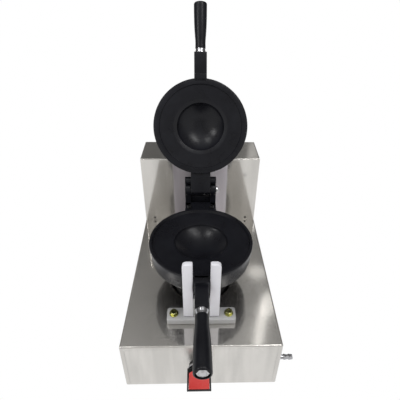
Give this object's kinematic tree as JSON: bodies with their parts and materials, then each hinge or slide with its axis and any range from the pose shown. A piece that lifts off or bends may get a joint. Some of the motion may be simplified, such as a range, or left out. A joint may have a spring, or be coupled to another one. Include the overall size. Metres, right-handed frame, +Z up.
{
  "type": "ufo burger maker",
  "caption": "Gas countertop sandwich maker: two round hinged non-stick moulds with long handles swing over a burner in a sheet-steel body, guided by a fork and a ball socket",
  "frame": {"origin": "middle of the footprint's bounding box, at the bottom of the feet", "axes": "+Z up, front with the knob and the lower handle towards -Y, gas inlet towards +X"},
  "size_m": [0.2744, 0.4918, 0.5498],
  "materials": {
    "stainless": "brushed stainless sheet, satin",
    "rubber_feet": "black rubber, dull",
    "cast_aluminium": "as cast, pale grey, lightly ground",
    "yellow_zinc": "yellow passivated zinc plating",
    "non_stick": "cast aluminium with a black non-stick coating",
    "bakelite": "black bakelite, half gloss",
    "chrome": "bright chrome plating",
    "black_steel": "blackened steel, oiled",
    "steel": "bright zinc-plated or turned steel",
    "cast_iron": "black cast iron, matt",
    "brass": "turned brass",
    "copper": "drawn copper pipe",
    "knob_black": "black moulded plastic",
    "knob_red": "red moulded plastic",
    "ceramic": "glazed ceramic, off-white",
    "lead_red": "silicone lead cover"
  },
  "bodies": {
    "chassis": {"deck_housing": "stainless", "front_panel": "stainless", "tower_housing": "stainless", "rear_cover": "stainless", "bottom_plate": "stainless", "foot_front_left": "rubber_feet", "foot_front_right": "rubber_feet", "foot_rear_left": "rubber_feet", "foot_rear_right": "rubber_feet", "fork_base": "cast_aluminium", "fork_arm_left": "cast_aluminium", "fork_arm_right": "cast_aluminium", "fork_web": "cast_aluminium", "fork_rest_pin": "black_steel", "fork_bolt_left": "yellow_zinc", "fork_bolt_right": "yellow_zinc", "fork_washer_left": "yellow_zinc", "fork_washer_right": "yellow_zinc", "fork_nut_left": "yellow_zinc", "fork_nut_right": "yellow_zinc", "socket_front": "cast_iron", "socket_back": "cast_iron", "socket_screw_top": "steel", "socket_screw_left": "steel", "socket_screw_right": "steel", "tap_body": "brass", "injector": "brass", "burner_body": "cast_iron", "burner_cap": "cast_iron", "burner_bracket": "steel", "electrode": "ceramic", "electrode_clip": "steel", "igniter_lead": "lead_red", "gas_pipe": "copper", "inlet_nut": "steel", "inlet_barb": "chrome"},
    "mould_set": {"lower_mould": "non_stick", "lower_handle_bar": "non_stick", "lower_ferrule": "chrome", "lower_grip": "bakelite", "lower_grip_nut": "steel", "hinge_yoke": "non_stick", "yoke_screw_left": "black_steel", "yoke_screw_right": "black_steel", "hinge_pin": "steel", "turning_shaft": "steel"},
    "lid": {"lid_mould": "non_stick", "lid_handle_bar": "non_stick", "lid_ferrule": "chrome", "lid_grip": "bakelite", "lid_grip_nut": "steel", "hinge_tongue": "non_stick", "tongue_screw_left": "black_steel", "tongue_screw_right": "black_steel"},
    "push_seat": {"spring_seat": "steel"},
    "knob": {"knob_body": "knob_black", "knob_core": "knob_red", "knob_ring": "chrome", "tap_stem": "steel"},
    "shutter": {"air_shutter": "steel"}
  },
  "joints": [
    {"name": "mould_lift", "type": "hinge", "parent": "chassis", "child": "mould_set", "pos_m": [-0.01215, 0.15964, 0.202], "axis": [-1, 0, 0], "range_deg": [0, 12]},
    {"name": "lid_hinge", "type": "hinge", "parent": "mould_set", "child": "lid", "pos_m": [-0.01215, 0.10164, 0.225], "axis": [1, 0, 0], "range_deg": [0, 114]},
    {"name": "knob_push", "type": "slide", "parent": "chassis", "child": "push_seat", "axis": [0, 1, 0], "range_m": [0, 0.004], "stiffness_N_per_m": 800, "springref_m": -0.003},
    {"name": "knob_turn", "type": "hinge", "parent": "push_seat", "child": "knob", "pos_m": [-0.01615, -0.16236, 0.073], "axis": [0, -1, 0], "range_deg": [0, 90]},
    {"name": "air_shutter_turn", "type": "hinge", "parent": "chassis", "child": "shutter", "pos_m": [-0.01615, -0.10266, 0.073], "axis": [0, 1, 0], "range_deg": [0, 60]}
  ]
}
